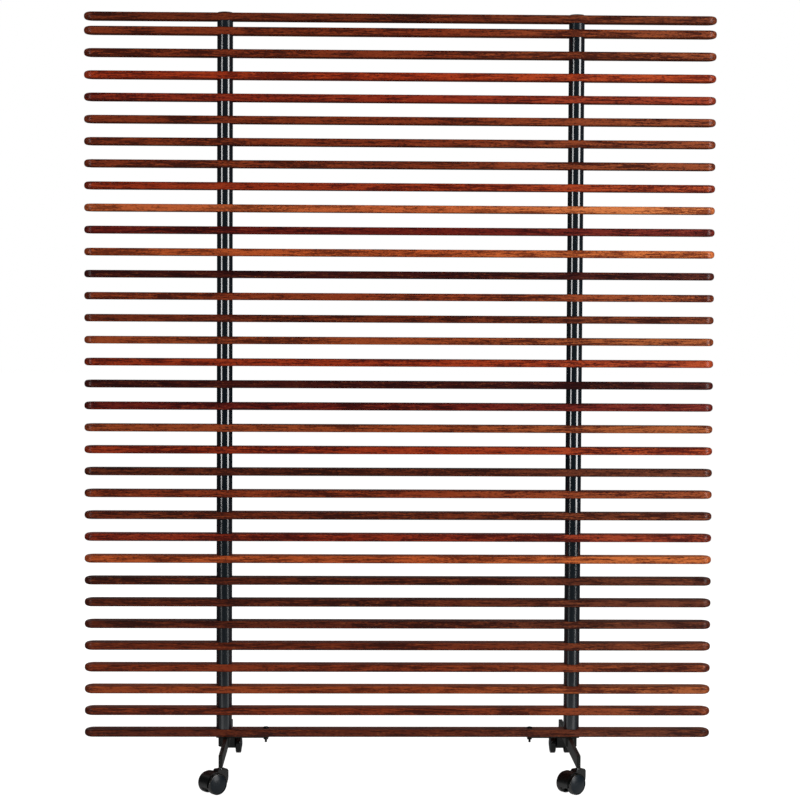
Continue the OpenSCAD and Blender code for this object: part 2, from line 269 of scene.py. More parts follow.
@dataclass(frozen=True)
class OiledHardwood(Finish):
    """Satin tropical hardwood; each slat's own tones come with its mesh."""

    roughness: float = 0.34
    roughness_swing: float = 0.2
    specular: float = 0.3
    relief: Relief = Relief(0.3, 0.05 * MM)
    relief_streak: float = 0.5
    dark_grain: Colour = (0.010, 0.0035, 0.002)
    gold_grain: Colour = (0.42, 0.13, 0.035)
    # Painted glow: the tint, and the ramp along X that brings it in, make the right-hand end of
    # each slat paler and more golden, a painted highlight for the nearer right-hand lamp and its
    # sheen.
    painted_glow_tint: Colour = (1.15, 1.65, 1.8)
    painted_glow_ramp: Ramp = Ramp(0.1, 2.2)
    gold_streak: Ramp = Ramp(MEAN, -6.0)
    gold_fleck: Ramp = Ramp(MEAN, -8.0, 0.85)
    gold_share: float = 0.42
    dark_fleck: Ramp = Ramp(0.56, 7.0, 0.7)
    dark_pore: Ramp = Ramp(0.6, 3.0, 0.5)
    ends_grain_and_shade_share: float = 0.6
    shade_level: float = 0.4
    patch_swing: float = 3.2
    streak_swing: float = 5.6
    fleck_swing: float = 3.0
    bend: tuple[float, float, float] = (0.0, 0.012, 0.012)
    wander: Pattern = Pattern((3.0, 14.0, 14.0), (0.0, 3.1, 7.7))
    patch: Pattern = Pattern((6.0, 24.0, 30.0), (4.0, 0.0, 1.3))
    streak: Pattern = Pattern((18.0, 250.0, 280.0), (0.0, 5.0, 2.0), 4.0, 0.65)
    fleck: Pattern = Pattern((130.0, 480.0, 480.0), (1.0, 0.0, 9.0), 3.0, 0.65)
    pore: Pattern = Pattern((190.0, 1500.0, 1500.0), (2.0, 6.0, 0.0))

    def paint(self, graph: Graph) -> None:
        """Grain along X: patches of tone, streaks, short dark flecks and pores; darker ends, partly
        end grain and partly painted shade; and a painted glow towards the right-hand end.

        Args:
            graph: The material's own, empty graph.
        """
        where = graph.where()
        tone, shade, end_grain = (
            graph.add("ShaderNodeAttribute", {"attribute_name": label})[output]
            for label, output in (
                ("timber_tone", "Color"), ("timber_shade", "Color"), ("end_grain", "Fac"),
            )
        )
        along = graph.add("ShaderNodeSeparateXYZ", {}, {0: where})["X"]
        # Painted glow: from X = 0.1 m, rising to full at about 0.55 m, the tone is painted paler
        # and more golden, a painted highlight for the nearer right-hand lamp.
        scaled = {"operation": "MULTIPLY"}
        painted_glow_tone = graph.add("ShaderNodeVectorMath", scaled, {0: tone, 1: self.painted_glow_tint})[0]
        tone = graph.blend_colours(along.through(self.painted_glow_ramp), tone, painted_glow_tone)
        wander = graph.noise(where, self.wander) - MEAN
        aside = graph.add("ShaderNodeCombineXYZ", {}, {"Y": wander, "Z": wander})[0]
        shifted = {"operation": "MULTIPLY_ADD"}
        bent = graph.add("ShaderNodeVectorMath", shifted, {0: aside, 1: self.bend, 2: where})[0]
        patch, streak, fleck, pore = (
            graph.noise(bent, pattern)
            for pattern in (self.patch, self.streak, self.fleck, self.pore)
        )
        swings = patch.swing(self.patch_swing) + streak.swing(self.streak_swing)
        depth = (swings + fleck.swing(self.fleck_swing) + self.shade_level).clamped()
        gold = graph.blend_colours(self.gold_share, tone, self.gold_grain)
        wood = graph.blend_colours(depth, tone, shade)
        for amount, colour in (
            (streak.through(self.gold_streak) * fleck.through(self.gold_fleck), gold),
            (fleck.through(self.dark_fleck), self.dark_grain),
            (pore.through(self.dark_pore), self.dark_grain),
            # Darker ends: end grain, and painted shade where the half-round ends turn away from the
            # lamps.
            (end_grain * self.ends_grain_and_shade_share, shade),
        ):
            wood = graph.blend_colours(amount, wood, colour)
        graph.surface({
            "Base Color": wood,
            "Roughness": (self.roughness + fleck.swing(self.roughness_swing)).clamped(),
            "Specular IOR Level": self.specular,
            "Normal": graph.bump(pore + streak * self.relief_streak, self.relief),
        })


@dataclass(frozen=True)
class Lacquer(Finish):
    """Paint or powder coat over metal, smooth or finely textured."""

    colour: Colour
    haze: Colour
    roughness: float
    specular: float
    grain: float
    relief: Relief | None = None
    ior: float = 1.5
    hazy: Ramp = Ramp(0.35, 2.0)
    cloud_swing: float = 0.16
    film_swing: float = 0.1
    cloud: Pattern = Pattern((9.0, 9.0, 6.0), (5.0, 0.0, 2.0), 3.0, 0.6)

    def paint(self, graph: Graph) -> None:
        """A thin uneven haze over the colour, with the film's own fine texture.

        Args:
            graph: The material's own, empty graph.
        """
        where = graph.where()
        film = graph.noise(where, Pattern((self.grain,) * 3, (1.0, 2.0, 3.0)))
        cloud = graph.noise(where, self.cloud)
        uneven = cloud.swing(self.cloud_swing) + film.swing(self.film_swing)
        inputs = {
            "Base Color": graph.blend_colours(cloud.through(self.hazy), self.colour, self.haze),
            "Roughness": (self.roughness + uneven * self.roughness).clamped(),
            "IOR": self.ior,
            "Specular IOR Level": self.specular,
        }
        if self.relief:
            inputs["Normal"] = graph.bump(film, self.relief)
        graph.surface(inputs)


@dataclass(frozen=True)
class MouldedPlastic(Finish):
    """Glass-filled nylon: fine spark texture, with a little scuffing where it rolls."""

    colour: Colour
    scuff: Colour
    roughness: float
    scuffs: Ramp
    specular: float
    scuffed_roughness: float = 0.2
    roughness_swing: float = 0.1
    relief: Relief = Relief(0.3, 0.03 * MM)
    spark: Pattern = Pattern((1400.0,) * 3, (0.0, 1.0, 0.0), 2.0, 0.6)
    wear: Pattern = Pattern((160.0,) * 3, (3.0, 0.0, 1.0), 4.0, 0.7)

    def paint(self, graph: Graph) -> None:
        """Colour with scuffs, and the mould's spark texture as bump.

        Args:
            graph: The material's own, empty graph.
        """
        where = graph.where()
        spark = graph.noise(where, self.spark)
        scuffed = graph.noise(where, self.wear).through(self.scuffs)
        rough = self.roughness + scuffed * self.scuffed_roughness
        graph.surface({
            "Base Color": graph.blend_colours(scuffed, self.colour, self.scuff),
            "Roughness": (rough + spark.swing(self.roughness_swing)).clamped(),
            "Specular IOR Level": self.specular,
            "Normal": graph.bump(spark, self.relief),
        })


@dataclass(frozen=True)
class PlatedSteel(Finish):
    """Turned and plated steel."""

    colour: Colour
    roughness: float
    roughness_swing: float = 0.15
    shadow: float = 0.82
    relief: Relief = Relief(0.2, 0.02 * MM)
    turned: Pattern = Pattern((60.0, 60.0, 2600.0), (0.0, 0.0, 4.0))
    cloud: Pattern = Pattern((120.0,) * 3, (2.0, 2.0, 0.0), 3.0, 0.6)

    def paint(self, graph: Graph) -> None:
        """Fine turning marks round the vertical axis, and a slight unevenness.

        Args:
            graph: The material's own, empty graph.
        """
        where = graph.where()
        turned, cloud = graph.noise(where, self.turned), graph.noise(where, self.cloud)
        darker = tuple(self.shadow * part for part in self.colour)
        graph.surface({
            "Base Color": graph.blend_colours(cloud, self.colour, darker),
            "Metallic": 1.0,
            "Roughness": (self.roughness + turned.swing(self.roughness_swing)).clamped(),
            "Normal": graph.bump(turned, self.relief),
        })


HARDWOOD = OiledHardwood("oiled_hardwood", "wood")
GLOSS_BLACK = Lacquer(
    "gloss_black_tube", "tube_black", (0.0035, 0.0065, 0.0095), (0.005, 0.009, 0.0125),
    roughness=0.15, specular=1.0, grain=300.0, ior=1.75,
)
SLEEVE_GREY = Lacquer(
    "satin_sleeve", "sleeve_grey", (0.006, 0.010, 0.014), (0.010, 0.015, 0.020),
    roughness=0.26, specular=0.6, grain=700.0,
)
FOOT_BLACK = Lacquer(
    "satin_powder_coat", "foot_black", (0.0035, 0.0042, 0.0035), (0.0060, 0.0068, 0.0058),
    roughness=0.40, specular=0.5, grain=1100.0, relief=Relief(0.35, 0.02 * MM),
)
HARDWARE_BLACK = Lacquer(
    "blackened_hardware", "hardware_black", (0.002, 0.002, 0.002), (0.004, 0.004, 0.004),
    roughness=0.36, specular=0.3, grain=1400.0, relief=Relief(0.35, 0.01 * MM),
)
SCUFFS = Ramp(0.52, 4.0, 0.2)
BODY_PLASTIC = MouldedPlastic(
    "caster_body_nylon", "body_plastic", (0.0025, 0.0032, 0.0030), (0.006, 0.0068, 0.0062),
    roughness=0.28, scuffs=SCUFFS, specular=0.9,
)
CAP_PLASTIC = MouldedPlastic(
    "wheel_cap_nylon", "wheel_plastic", (0.003, 0.0065, 0.010), (0.006, 0.011, 0.016),
    roughness=0.32, scuffs=SCUFFS, specular=0.45,
)
TREAD_PLASTIC = MouldedPlastic(
    "wheel_tread_nylon", "wheel_plastic", (0.0022, 0.0026, 0.0024), (0.006, 0.0065, 0.006),
    roughness=0.22, scuffs=SCUFFS, specular=1.0,
)
STEM_STEEL = PlatedSteel("bright_stem", "stem_steel", (0.72, 0.73, 0.75), 0.2)
ROD_STEEL = PlatedSteel("plain_rod", "rod_steel", (0.55, 0.55, 0.55), 0.35)


class Timber(Enum):
    """Tones of the hardwood, each a body colour and the colour of its streaks."""

    WALNUT = ((0.146, 0.0237, 0.0084), (0.037, 0.0072, 0.0043))
    CLAY = ((0.206, 0.0320, 0.0101), (0.051, 0.0090, 0.0047))
    RUSSET = ((0.238, 0.0368, 0.0109), (0.060, 0.0095, 0.0047))
    GARNET = ((0.259, 0.0261, 0.0094), (0.065, 0.0072, 0.0047))
    EMBER = ((0.305, 0.0320, 0.0085), (0.084, 0.0083, 0.0044))
    FLAME = ((0.357, 0.0356, 0.0084), (0.119, 0.0119, 0.0051))
    OCHRE = ((0.292, 0.0547, 0.0152), (0.081, 0.0142, 0.0060))
    HONEY = ((0.520, 0.1120, 0.0320), (0.183, 0.0360, 0.0105))
    AMBER = ((0.465, 0.0855, 0.0203), (0.141, 0.0237, 0.0077))
    MAROON = ((0.130, 0.0110, 0.0070), (0.034, 0.0040, 0.0038))
    UMBER = ((0.102, 0.0190, 0.0084), (0.028, 0.0065, 0.0044))
    PLUM = ((0.050, 0.0070, 0.0050), (0.017, 0.0030, 0.0030))


RACK: tuple[Timber, ...] = tuple(
    Timber[tone] for tone in (
        "WALNUT CLAY CLAY FLAME GARNET CLAY CLAY CLAY EMBER HONEY MAROON AMBER PLUM RUSSET "
        "WALNUT OCHRE EMBER PLUM MAROON OCHRE EMBER UMBER RUSSET WALNUT GARNET AMBER UMBER "
        "UMBER UMBER WALNUT CLAY OCHRE CLAY UMBER"
    ).split()
)


# --- mesh tools


def corner_normals(mesh: BMesh) -> list[Vector]:
    """Normals that lean to the larger faces, so that flats beside a rounding stay flat.

    Args:
        mesh: The bmesh, its smooth edges already marked.

    Returns:
        One normal for each corner, in the faces' order.
    """
    mesh.faces.index_update()
    pull = [face.normal * face.calc_area() for face in mesh.faces]
    found: dict[tuple[int, Vert], Vector] = {}
    for vertex in mesh.verts:
        waiting = set(vertex.link_faces)
        while waiting:
            fan = [waiting.pop()]
            for face in fan:
                for edge in face.edges:
                    if edge.smooth and vertex in edge.verts:
                        beyond = [f for f in edge.link_faces if f in waiting]
                        waiting.difference_update(beyond)
                        fan += beyond
            total = sum((pull[face.index] for face in fan), Vector())
            for face in fan:
                known = total.length > 1e-14
                found[face.index, vertex] = total.normalized() if known else face.normal
    return [found[face.index, corner.vert] for face in mesh.faces for corner in face.loops]


def finish_mesh(name: str, mesh: BMesh, crease_deg: float, outward: bool = True) -> bpy.types.Mesh:
    """Turns a bmesh into a mesh that is smooth up to a crease angle.

    Args:
        name: The mesh's name.
        mesh: The bmesh, which is freed.
        crease_deg: Edges sharper than this stay sharp.
        outward: Whether faces are turned outward first; a joined mesh already is.

    Returns:
        The mesh.
    """
    if outward:
        bmesh.ops.remove_doubles(mesh, verts=mesh.verts, dist=1e-7)
        bmesh.ops.recalc_face_normals(mesh, faces=mesh.faces)
    mesh.normal_update()
    crease = math.radians(crease_deg)
    for face in mesh.faces:
        face.smooth = True
    for edge in mesh.edges:
        edge.smooth = len(edge.link_faces) == 2 and edge.calc_face_angle(0.0) < crease
    normals = corner_normals(mesh)
    made = bpy.data.meshes.new(name)
    mesh.to_mesh(made)
    mesh.free()
    made.normals_split_custom_set(normals)
    return made


def add_object(name: str, data: Any) -> bpy.types.Object:
    """Links a new object at the origin.

    Args:
        name: The object's name.
        data: Its mesh, light or camera.

    Returns:
        The object.
    """
    made = bpy.data.objects.new(name, data)
    bpy.context.scene.collection.objects.link(made)
    return made


def place(piece: bpy.types.Object, finish: Finish, body: str, nodes: Sequence[str]) -> None:
    """Dresses a finished piece and lets it ride.

    Args:
        piece: The piece, at the origin.
        finish: Its finish, if it has none yet.
        body: The CAD body that it moves with.
        nodes: The CAD nodes that it stands for, if any.
    """
    if not piece.data.materials:
        piece.data.materials.append(finish.material())
    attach(piece, body)
    if nodes:
        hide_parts(*nodes)
    faces = len(piece.data.polygons)
    log.info("%s on %s, %d faces, for %s", piece.name, body, faces, ", ".join(nodes) or "itself")


def settle(name: str, mesh: BMesh, finish: Finish, node: str, crease_deg: float) -> None:
    """Finishes a piece of the panel that stands for one CAD node, and places it."""
    place(add_object(name, finish_mesh(name, mesh, crease_deg)), finish, "panel", [node])


def dress(node: str, finish: Finish) -> None:
    """Gives a CAD node that stays a better material.

    Args:
        node: The CAD node.
        finish: Its finish.
    """
    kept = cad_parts[node]
    kept.data.materials.clear()
    kept.data.materials.append(finish.material())
    log.info("%s kept, in %s", node, finish.name)


def skin(mesh: BMesh, rows: Sequence[Sequence[Vert]]) -> list[Face]:
    """Joins closed rows of points by faces and closes both ends.

    Args:
        mesh: The bmesh that holds the points.
        rows: The rows, each as long as the next.

    Returns:
        The two end faces.
    """
    for low, high in zip(rows, rows[1:]):
        for i in range(len(low)):
            j = (i + 1) % len(low)
            mesh.faces.new([low[i], low[j], high[j], high[i]])
    return [mesh.faces.new(rows[0][::-1]), mesh.faces.new(rows[-1])]


def hoop(mesh: BMesh, radii: Sequence[float], height: float, turn: Matrix) -> list[Vert]:
    """Adds a closed row of points round local Z.

    Args:
        mesh: The bmesh that they go into.
        radii: Each point's distance from the axis, at equal angles.
        height: Their local height.
        turn: Where the local frame goes.

    Returns:
        The points.
    """
    step = 2 * math.pi / len(radii)
    return [
        mesh.verts.new(turn @ Vector((r * math.cos(i * step), r * math.sin(i * step), height)))
        for i, r in enumerate(radii)
    ]


def lathe(mesh: BMesh, profile: Sequence[Point2], turn: Matrix, segments: int) -> None:
    """Adds a turned form round local Z.

    Args:
        mesh: The bmesh that it goes into.
        profile: Radius and height of each point, end to end; a radius of 0 is a pole.
        turn: Where the local frame goes.
        segments: How many facets go round.
    """
    rings = [hoop(mesh, [r] * (segments if r > POLE else 1), height, turn) for r, height in profile]
    for low, high in zip(rings, rings[1:]):
        for i in range(segments):
            j = (i + 1) % segments
            ways = ((low, i), (low, j), (high, j), (high, i))
            corners = list(dict.fromkeys(ring[k % len(ring)] for ring, k in ways))
            if len(corners) > 2:
                mesh.faces.new(corners)


def arc(
    radius: float, start_deg: float, end_deg: float, steps: int, centre: Point2 = (0.0, 0.0)
) -> list[Point2]:
    """Points along an arc.

    Args:
        radius: The arc's radius.
        start_deg: The angle of its first point.
        end_deg: The angle of its last point.
        steps: How many pieces it is cut into.
        centre: Its centre.

    Returns:
        The points, both ends included.
    """
    turns = (math.radians(start_deg + (end_deg - start_deg) * i / steps) for i in range(steps + 1))
    return [(centre[0] + radius * math.cos(a), centre[1] + radius * math.sin(a)) for a in turns]


def eased(radius: float, low: float, high: float, ease: float) -> list[Point2]:
    """The side of a turned disc with both rims eased.

    Args:
        radius: The disc's radius.
        low: Its underside.
        high: Its top.
        ease: The rims' easing.

    Returns:
        The profile's four points.
    """
    inner = radius - ease
    return [(inner, low), (radius, low + ease), (radius, high - ease), (inner, high)]


def round_outline(width: float, height: float, radius: float) -> list[Point2]:
    """A rectangle with round corners, centred on the origin.

    Args:
        width: Its size along the first axis.
        height: Its size along the second.
        radius: Its corners' radius.

    Returns:
        The outline's points, anticlockwise.
    """
    x, y = width / 2 - radius, height / 2 - radius
    corners = ((x, y, 0), (-x, y, 90), (-x, -y, 180), (x, -y, 270))
    return [p for cx, cy, start in corners for p in arc(radius, start, start + 90, 6, (cx, cy))]


def prism(
    mesh: BMesh, outline: Sequence[Point2], depth: float, bevel: float, turn: Matrix, steps: int
) -> None:
    """Adds an outline's prism, centred on local Z, with its rims rounded over.

    Args:
        mesh: The bmesh that it goes into.
        outline: The outline in local X and Y.
        depth: The prism's length along local Z.
        bevel: The rims' rounding.
        turn: Where the local frame goes.
        steps: Pieces in the rounding.
    """
    heights = (-depth / 2, depth / 2)
    rows = [[mesh.verts.new(turn @ Vector((x, y, z))) for x, y in outline] for z in heights]
    caps = skin(mesh, rows)
    if bevel:
        rims = list({edge for cap in caps for edge in cap.edges})
        bmesh.ops.bevel(
            mesh, geom=rims, offset=bevel, segments=steps, profile=0.5, affect="EDGES",
            clamp_overlap=True,
        )


def points_mesh(
    name: str, points: Iterable[Vector], edges: Sequence[tuple[int, int]] = ()
) -> bpy.types.Mesh:
    """A mesh of points, with edges between some.

    Args:
        name: The mesh's name.
        points: Their places.
        edges: Pairs of points.

    Returns:
        The mesh.
    """
    made = bpy.data.meshes.new(name)
    made.from_pydata([tuple(p) for p in points], edges, [])
    return made


# --- geometry node trees


@dataclass
class Rule:
    """A Geometry Nodes tree with named inputs, run once on an object and made plain."""

    name: str
    build: Callable[[Graph, Made], Value]
    inputs: dict[str, Any]

    KINDS = {float: "Float", int: "Int", bpy.types.Object: "Object", bpy.types.Material: "Material"}

    def run(self, name: str, seed_mesh: bpy.types.Mesh, finish: Finish) -> bpy.types.Object:
        """Makes the tree, which ends in Realize Instances and Set Material, and runs it.

        Args:
            name: The new piece's name.
            seed_mesh: The mesh that the modifier starts from.
            finish: The finish that the tree sets.

        Returns:
            A plain mesh object with no modifier.
        """
        tree = bpy.data.node_groups.new(self.name, "GeometryNodeTree")
        values = {**self.inputs, "Finish": finish.material()}
        tree.interface.new_socket("Geometry", in_out="INPUT", socket_type="NodeSocketGeometry")
        identifiers = {
            label: tree.interface.new_socket(
                label, in_out="INPUT", socket_type="NodeSocket" + self.KINDS[type(value)]
            ).identifier
            for label, value in values.items()
        }
        tree.interface.new_socket("Geometry", in_out="OUTPUT", socket_type="NodeSocketGeometry")
        graph = Graph(tree)
        start = graph.add("NodeGroupInput")
        instances = {"Geometry": self.build(graph, start)}
        real = graph.add("GeometryNodeRealizeInstances", {}, instances)
        dressed = graph.add(
            "GeometryNodeSetMaterial", {}, {"Geometry": real[0], "Material": start["Finish"]}
        )
        graph.add("NodeGroupOutput", {}, {0: dressed[0]})
        holder = add_object(name + "_rule", seed_mesh)
        modifier = holder.modifiers.new(self.name, "NODES")
        modifier.node_group = tree
        for label, value in values.items():
            modifier[identifiers[label]] = value
        depsgraph = bpy.context.evaluated_depsgraph_get()
        plain = bpy.data.meshes.new_from_object(
            holder.evaluated_get(depsgraph), preserve_all_data_layers=True, depsgraph=depsgraph
        )
        holder.modifiers.clear()
        bpy.data.objects.remove(holder)
        plain.name = name
        return add_object(name, plain)


# --- slats


@dataclass
class SlatRack:
    """The hardwood slats, one above another."""

    length: float = 1524 * MM
    depth: float = 45 * MM
    thickness: float = 18 * MM
    edge_r: float = 4 * MM
    nose_r: float = 8 * MM
    tones: tuple[Timber, ...] = RACK

    def names(self) -> list[str]:
        """The CAD nodes, from the top slat down."""
        return [f"slat_{n:02d}" for n in range(1, len(self.tones) + 1)]

    def levels(self) -> list[tuple[float, float, float]]:
        """The outlines' places from the middle up to the top face.

        Returns:
            Height, side inset and nose inset of each outline.
        """
        half = self.thickness / 2
        knee, nose = half - self.edge_r, half - self.nose_r
        curve = [knee + y for _, y in arc(self.edge_r, 0, 90, 6)]
        found = []
        for z in (nose, (nose + knee) / 2, *curve):
            side = self.edge_r - math.sqrt(max(0.0, self.edge_r**2 - max(0.0, z - knee) ** 2))
            tip = self.nose_r - math.sqrt(max(0.0, self.nose_r**2 - (z - nose) ** 2))
            found.append((z, side, tip))
        return found

    def outline(self, side: float, tip: float) -> list[Point2]:
        """The slat from above at one height: two long sides and two half-round ends.

        Args:
            side: How far the long sides are drawn in.
            tip: How far the tips are drawn in.

        Returns:
            The outline's points, anticlockwise.
        """
        r = self.depth / 2
        straight = self.length / 2 - r
        found: list[Point2] = []
        for sign in (1, -1):
            for x, y in arc(1.0, -90, 90, 18):
                found.append((sign * (straight + (r - tip) * x), sign * (r - side) * y))
            found += [(sign * straight * i / 3, sign * (r - side)) for i in (2, 1, 0, -1, -2)]
        return found

    def blank(self) -> bpy.types.Object:
        """Stacks the outlines of one slat round the origin, with its ends marked for end grain and
        painted shade.

        Returns:
            The blank.
        """
        mesh = bmesh.new()
        upper = self.levels()
        rows = [(-z, side, tip) for z, side, tip in reversed(upper)] + upper
        skin(mesh, [
            [mesh.verts.new((x, y, z)) for x, y in self.outline(side, tip)]
            for z, side, tip in rows
        ])
        made = finish_mesh("slat_blank", mesh, crease_deg=50.0)
        # The ends' mark, strongest at the tips: end grain, and painted shade where the ends face
        # sideways from the lamps.
        marks = made.attributes.new("end_grain", "FLOAT", "POINT")
        straight = (self.length - self.depth) / 2
        for vertex in made.vertices:
            into = max(0.0, abs(vertex.co.x) - straight) / (self.depth / 2)
            marks.data[vertex.index].value = min(1.0, into**2)
        return add_object("slat_blank", made)

    def seats(self) -> bpy.types.Mesh:
        """Marks each slat's middle, with that slat's tones.

        Returns:
            One point for each slat.
        """
        made = points_mesh("slat_seats", (sum(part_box(n), Vector()) / 2 for n in self.names()))
        for label, part in (("timber_tone", 0), ("timber_shade", 1)):
            layer = made.attributes.new(label, "FLOAT_COLOR", "POINT")
            for spot, timber in zip(layer.data, self.tones, strict=True):
                spot.color = (*timber.value[part], 1.0)
        return made

    @staticmethod
    def rule(graph: Graph, start: Made) -> Value:
        """Sets the blank on every seat.

        Args:
            graph: The tree's graph.
            start: Its Group Input.

        Returns:
            The instances.
        """
        blank = graph.add("GeometryNodeObjectInfo", {}, {"Object": start["Blank"]})
        seats = graph.add("GeometryNodeMeshToPoints", {}, {"Mesh": start["Geometry"]})
        inputs = {"Points": seats[0], "Instance": blank["Geometry"]}
        return graph.add("GeometryNodeInstanceOnPoints", {}, inputs)[0]

    def build(self) -> None:
        """Makes the rack as one mesh and lets it ride on the panel."""
        blank = self.blank()
        made = Rule("slat_rack", self.rule, {"Blank": blank}).run("slats", self.seats(), HARDWOOD)
        bpy.data.objects.remove(blank)
        place(made, HARDWOOD, "panel", self.names())


# --- posts


@dataclass
class Posts:
    """Two stacks of tubes, with a duller sleeve and a cap nut at the top of each."""

    spacing: float = 847 * MM
    tube_d: float = 38 * MM
    cap_d: float = 36 * MM
    cap_t: float = 2.5 * MM
    barrel_d: float = 15 * MM
    wall: float = 2 * MM
    sleeve_wall: float = 5 * MM
    rim: float = 0.4 * MM
    gap: float = 35 * MM
    pitch: float = 53 * MM
    tubes: int = 32
    around: int = 96
    crease: float = 0.35

    def stack_rule(self, graph: Graph, start: Made) -> Value:
        """Sweeps a wall's section round a circle and stacks the tube on each post.

        Args:
            graph: The tree's graph.
            start: Its Group Input.

        Returns:
            The instances.
        """
        middle = (start["Diameter"] - start["Wall"]) / 2
        ring = graph.add(
            "GeometryNodeCurvePrimitiveCircle", {"mode": "RADIUS"},
            {"Resolution": self.around, "Radius": middle},
        )
        section = graph.add(
            "GeometryNodeCurvePrimitiveQuadrilateral", {},
            {"Width": start["Wall"], "Height": start["Length"]},
        )
        softened = graph.add(
            "GeometryNodeFilletCurve", {"mode": "POLY"},
            {"Curve": section[0], "Count": 1, "Radius": start["Rim"]},
        )
        tube = graph.add(
            "GeometryNodeCurveToMesh", {},
            {"Curve": ring[0], "Profile Curve": softened[0], "Fill Caps": False},
        )
        soft = graph.add(
            "GeometryNodeSetShadeSmooth", {"domain": "FACE"},
            {"Geometry": tube[0], "Shade Smooth": True},
        )
        bend = graph.add("GeometryNodeInputMeshEdgeAngle")["Unsigned Angle"]
        smooth = graph.add(
            "GeometryNodeSetShadeSmooth", {"domain": "EDGE"},
            {"Geometry": soft[0], "Selection": bend.above(self.crease), "Shade Smooth": False},
        )
        feet = graph.add("GeometryNodeMeshToPoints", {}, {"Mesh": start["Geometry"]})
        step = graph.add("ShaderNodeCombineXYZ", {}, {"Z": start["Pitch"]})
        line = graph.add(
            "GeometryNodeMeshLine", {"mode": "OFFSET"}, {"Count": start["Count"], "Offset": step[0]}
        )
        column = graph.add(
            "GeometryNodeInstanceOnPoints", {}, {"Points": line[0], "Instance": smooth[0]}
        )
        both = {"Points": feet[0], "Instance": column[0]}
        return graph.add("GeometryNodeInstanceOnPoints", {}, both)[0]

    def stack(
        self, name: str, node: str, wall: float, length: float, count: int, finish: Finish
    ) -> None:
        """Makes one kind of tube on both posts.

        Args:
            name: The piece's name.
            node: The CAD node that it stands for.
            wall: The tube's wall.
            length: The tube's length.
            count: How many stand on each post.
            finish: The tubes' finish.
        """
        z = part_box(node)[0].z + length / 2
        feet = [Vector((side * self.spacing / 2, 0.0, z)) for side in (-1, 1)]
        sizes = {
            "Diameter": self.tube_d, "Wall": wall, "Length": length, "Rim": self.rim,
            "Pitch": self.pitch, "Count": count,
        }
        rule = Rule(name + "_stack", self.stack_rule, sizes)
        made = rule.run(name, points_mesh(name + "_feet", feet), finish)
        place(made, finish, "panel", [node])

    def cap_nuts(self) -> None:
        """Turns the cap nuts: a thin disc with a round rim, and the barrel under it."""
        mesh = bmesh.new()
        low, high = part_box("cap_nuts")
        r, t, barrel_r, drop = self.cap_d / 2, self.cap_t, self.barrel_d / 2, low.z - high.z
        rim = arc(t / 2, 90, -90, 8, (r - t / 2, -t / 2))
        profile = [
            (0.0, 0.0), (r / 2, 0.0), *rim, (barrel_r, -t), (barrel_r, drop), (0.0, drop),
        ]
        for x in (-self.spacing / 2, self.spacing / 2):
            lathe(mesh, profile, Matrix.Translation((x, 0.0, high.z)), segments=72)
        settle("cap_nuts_turned", mesh, HARDWARE_BLACK, "cap_nuts", crease_deg=35.0)

    def build(self) -> None:
        """Makes the tubes, the sleeves and the cap nuts, and dresses the hidden rods."""
        self.stack("gloss_tubes", "spacer_tubes", self.wall, self.gap, self.tubes, GLOSS_BLACK)
        low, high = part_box("top_sleeves")
        length = high.z - low.z
        self.stack("satin_sleeves", "top_sleeves", self.sleeve_wall, length, 1, SLEEVE_GREY)
        self.cap_nuts()
        dress("tie_rods", ROD_STEEL)


# --- feet


class Hand(Enum):
    """The left and the right, as the photograph shows them."""

    LEFT = -1
    RIGHT = 1


